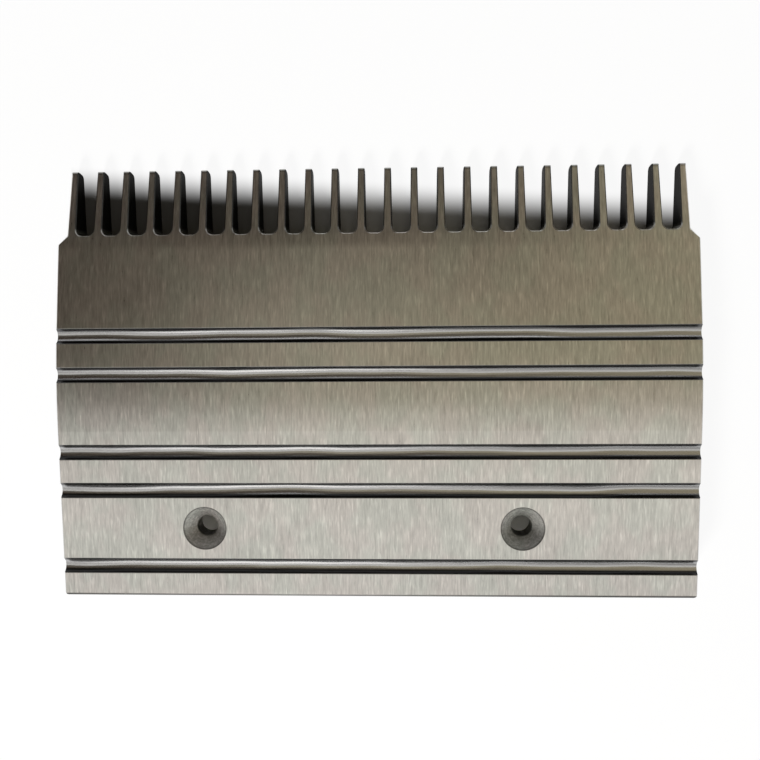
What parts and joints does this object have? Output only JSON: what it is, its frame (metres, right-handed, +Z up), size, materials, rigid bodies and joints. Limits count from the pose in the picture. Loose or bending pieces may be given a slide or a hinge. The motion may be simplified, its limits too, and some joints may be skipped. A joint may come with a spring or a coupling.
{
  "type": "escalator comb plate",
  "caption": "Aluminium escalator comb plate: grooved tread face bending down to a row of slim teeth that mesh with the step ribs, with countersunk screw holes.",
  "frame": {"origin": "on the seat (underside), midway between the axes of the two screw holes", "axes": "+X along the row of teeth, +Y from the rear edge to the tooth tips, +Z up out of the tread face"},
  "size_m": [0.2032, 0.1372, 0.0176],
  "materials": {
    "aluminium": "brushed"
  },
  "bodies": {
    "root": {"comb_plate": "aluminium"}
  },
  "joints": []
}
